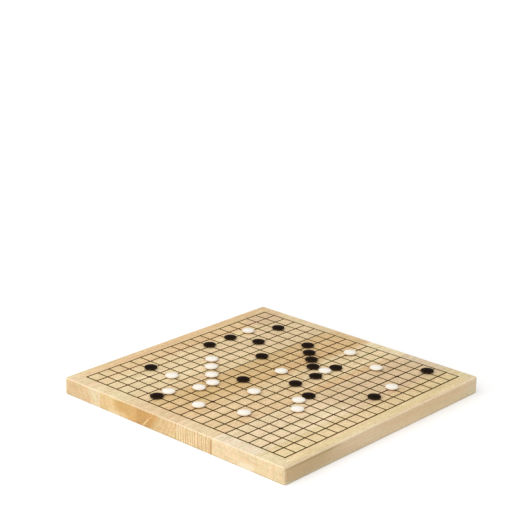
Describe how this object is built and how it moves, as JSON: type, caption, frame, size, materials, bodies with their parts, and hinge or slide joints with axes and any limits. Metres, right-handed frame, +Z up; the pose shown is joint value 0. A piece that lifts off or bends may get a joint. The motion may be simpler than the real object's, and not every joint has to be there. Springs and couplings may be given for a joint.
{
  "type": "go board with stones",
  "caption": "Small solid wooden go board, edge-glued from staves, with engraved lines and star points and a game of lens-shaped black and white stones standing on it.",
  "frame": {"origin": "the middle of the underside of the board", "axes": "+X across the staves, to the right along the end-grain front edge; +Y along the staves, away from that edge; +Z up through the playing surface"},
  "size_m": [0.216, 0.216, 0.0154],
  "materials": {
    "wood_rosy": "satin clear lacquer on rosy beech",
    "wood_amber": "satin clear lacquer on amber beech",
    "wood_honey": "satin clear lacquer on honey-brown beech",
    "wood_straw": "satin clear lacquer on straw-coloured beech with fine rings",
    "wood_cream": "satin clear lacquer on cream beech",
    "wood_yellow": "satin clear lacquer on yellowish beech",
    "black_stone": "smooth black plastic with a soft sheen",
    "white_stone": "smooth white plastic with a soft sheen"
  },
  "bodies": {
    "board": {"stave_1": "wood_rosy", "stave_2": "wood_amber", "stave_3": "wood_honey", "stave_4": "wood_straw", "stave_5": "wood_cream", "stave_6": "wood_yellow"},
    "black_stone_d17": {"black_stone_d17": "black_stone"},
    "black_stone_h16": {"black_stone_h16": "black_stone"},
    "black_stone_j15": {"black_stone_j15": "black_stone"},
    "black_stone_k14": {"black_stone_k14": "black_stone"},
    "black_stone_l13": {"black_stone_l13": "black_stone"},
    "black_stone_m14": {"black_stone_m14": "black_stone"},
    "black_stone_m12": {"black_stone_m12": "black_stone"},
    "black_stone_e14": {"black_stone_e14": "black_stone"},
    "black_stone_c13": {"black_stone_c13": "black_stone"},
    "black_stone_g12": {"black_stone_g12": "black_stone"},
    "black_stone_c11": {"black_stone_c11": "black_stone"},
    "black_stone_m10": {"black_stone_m10": "black_stone"},
    "black_stone_o9": {"black_stone_o9": "black_stone"},
    "black_stone_j8": {"black_stone_j8": "black_stone"},
    "black_stone_c5": {"black_stone_c5": "black_stone"},
    "black_stone_g2": {"black_stone_g2": "black_stone"},
    "black_stone_r18": {"black_stone_r18": "black_stone"},
    "black_stone_r12": {"black_stone_r12": "black_stone"},
    "white_stone_c15": {"white_stone_c15": "white_stone"},
    "white_stone_l17": {"white_stone_l17": "white_stone"},
    "white_stone_o16": {"white_stone_o16": "white_stone"},
    "white_stone_m13": {"white_stone_m13": "white_stone"},
    "white_stone_r14": {"white_stone_r14": "white_stone"},
    "white_stone_k11": {"white_stone_k11": "white_stone"},
    "white_stone_e9": {"white_stone_e9": "white_stone"},
    "white_stone_f8": {"white_stone_f8": "white_stone"},
    "white_stone_g7": {"white_stone_g7": "white_stone"},
    "white_stone_h6": {"white_stone_h6": "white_stone"},
    "white_stone_h5": {"white_stone_h5": "white_stone"},
    "white_stone_e5": {"white_stone_e5": "white_stone"},
    "white_stone_g3": {"white_stone_g3": "white_stone"},
    "white_stone_k3": {"white_stone_k3": "white_stone"},
    "white_stone_l7": {"white_stone_l7": "white_stone"},
    "white_stone_n4": {"white_stone_n4": "white_stone"},
    "white_stone_o8": {"white_stone_o8": "white_stone"},
    "white_stone_p7": {"white_stone_p7": "white_stone"}
  },
  "joints": [
    {"name": "lift_black_d17", "type": "slide", "parent": "board", "child": "black_stone_d17", "axis": [0, 0, 1], "range_m": [0, 0.04]},
    {"name": "lift_black_h16", "type": "slide", "parent": "board", "child": "black_stone_h16", "axis": [0, 0, 1], "range_m": [0, 0.04]},
    {"name": "lift_black_j15", "type": "slide", "parent": "board", "child": "black_stone_j15", "axis": [0, 0, 1], "range_m": [0, 0.04]},
    {"name": "lift_black_k14", "type": "slide", "parent": "board", "child": "black_stone_k14", "axis": [0, 0, 1], "range_m": [0, 0.04]},
    {"name": "lift_black_l13", "type": "slide", "parent": "board", "child": "black_stone_l13", "axis": [0, 0, 1], "range_m": [0, 0.04]},
    {"name": "lift_black_m14", "type": "slide", "parent": "board", "child": "black_stone_m14", "axis": [0, 0, 1], "range_m": [0, 0.04]},
    {"name": "lift_black_m12", "type": "slide", "parent": "board", "child": "black_stone_m12", "axis": [0, 0, 1], "range_m": [0, 0.04]},
    {"name": "lift_black_e14", "type": "slide", "parent": "board", "child": "black_stone_e14", "axis": [0, 0, 1], "range_m": [0, 0.04]},
    {"name": "lift_black_c13", "type": "slide", "parent": "board", "child": "black_stone_c13", "axis": [0, 0, 1], "range_m": [0, 0.04]},
    {"name": "lift_black_g12", "type": "slide", "parent": "board", "child": "black_stone_g12", "axis": [0, 0, 1], "range_m": [0, 0.04]},
    {"name": "lift_black_c11", "type": "slide", "parent": "board", "child": "black_stone_c11", "axis": [0, 0, 1], "range_m": [0, 0.04]},
    {"name": "lift_black_m10", "type": "slide", "parent": "board", "child": "black_stone_m10", "axis": [0, 0, 1], "range_m": [0, 0.04]},
    {"name": "lift_black_o9", "type": "slide", "parent": "board", "child": "black_stone_o9", "axis": [0, 0, 1], "range_m": [0, 0.04]},
    {"name": "lift_black_j8", "type": "slide", "parent": "board", "child": "black_stone_j8", "axis": [0, 0, 1], "range_m": [0, 0.04]},
    {"name": "lift_black_c5", "type": "slide", "parent": "board", "child": "black_stone_c5", "axis": [0, 0, 1], "range_m": [0, 0.04]},
    {"name": "lift_black_g2", "type": "slide", "parent": "board", "child": "black_stone_g2", "axis": [0, 0, 1], "range_m": [0, 0.04]},
    {"name": "lift_black_r18", "type": "slide", "parent": "board", "child": "black_stone_r18", "axis": [0, 0, 1], "range_m": [0, 0.04]},
    {"name": "lift_black_r12", "type": "slide", "parent": "board", "child": "black_stone_r12", "axis": [0, 0, 1], "range_m": [0, 0.04]},
    {"name": "lift_white_c15", "type": "slide", "parent": "board", "child": "white_stone_c15", "axis": [0, 0, 1], "range_m": [0, 0.04]},
    {"name": "lift_white_l17", "type": "slide", "parent": "board", "child": "white_stone_l17", "axis": [0, 0, 1], "range_m": [0, 0.04]},
    {"name": "lift_white_o16", "type": "slide", "parent": "board", "child": "white_stone_o16", "axis": [0, 0, 1], "range_m": [0, 0.04]},
    {"name": "lift_white_m13", "type": "slide", "parent": "board", "child": "white_stone_m13", "axis": [0, 0, 1], "range_m": [0, 0.04]},
    {"name": "lift_white_r14", "type": "slide", "parent": "board", "child": "white_stone_r14", "axis": [0, 0, 1], "range_m": [0, 0.04]},
    {"name": "lift_white_k11", "type": "slide", "parent": "board", "child": "white_stone_k11", "axis": [0, 0, 1], "range_m": [0, 0.04]},
    {"name": "lift_white_e9", "type": "slide", "parent": "board", "child": "white_stone_e9", "axis": [0, 0, 1], "range_m": [0, 0.04]},
    {"name": "lift_white_f8", "type": "slide", "parent": "board", "child": "white_stone_f8", "axis": [0, 0, 1], "range_m": [0, 0.04]},
    {"name": "lift_white_g7", "type": "slide", "parent": "board", "child": "white_stone_g7", "axis": [0, 0, 1], "range_m": [0, 0.04]},
    {"name": "lift_white_h6", "type": "slide", "parent": "board", "child": "white_stone_h6", "axis": [0, 0, 1], "range_m": [0, 0.04]},
    {"name": "lift_white_h5", "type": "slide", "parent": "board", "child": "white_stone_h5", "axis": [0, 0, 1], "range_m": [0, 0.04]},
    {"name": "lift_white_e5", "type": "slide", "parent": "board", "child": "white_stone_e5", "axis": [0, 0, 1], "range_m": [0, 0.04]},
    {"name": "lift_white_g3", "type": "slide", "parent": "board", "child": "white_stone_g3", "axis": [0, 0, 1], "range_m": [0, 0.04]},
    {"name": "lift_white_k3", "type": "slide", "parent": "board", "child": "white_stone_k3", "axis": [0, 0, 1], "range_m": [0, 0.04]},
    {"name": "lift_white_l7", "type": "slide", "parent": "board", "child": "white_stone_l7", "axis": [0, 0, 1], "range_m": [0, 0.04]},
    {"name": "lift_white_n4", "type": "slide", "parent": "board", "child": "white_stone_n4", "axis": [0, 0, 1], "range_m": [0, 0.04]},
    {"name": "lift_white_o8", "type": "slide", "parent": "board", "child": "white_stone_o8", "axis": [0, 0, 1], "range_m": [0, 0.04]},
    {"name": "lift_white_p7", "type": "slide", "parent": "board", "child": "white_stone_p7", "axis": [0, 0, 1], "range_m": [0, 0.04]}
  ]
}
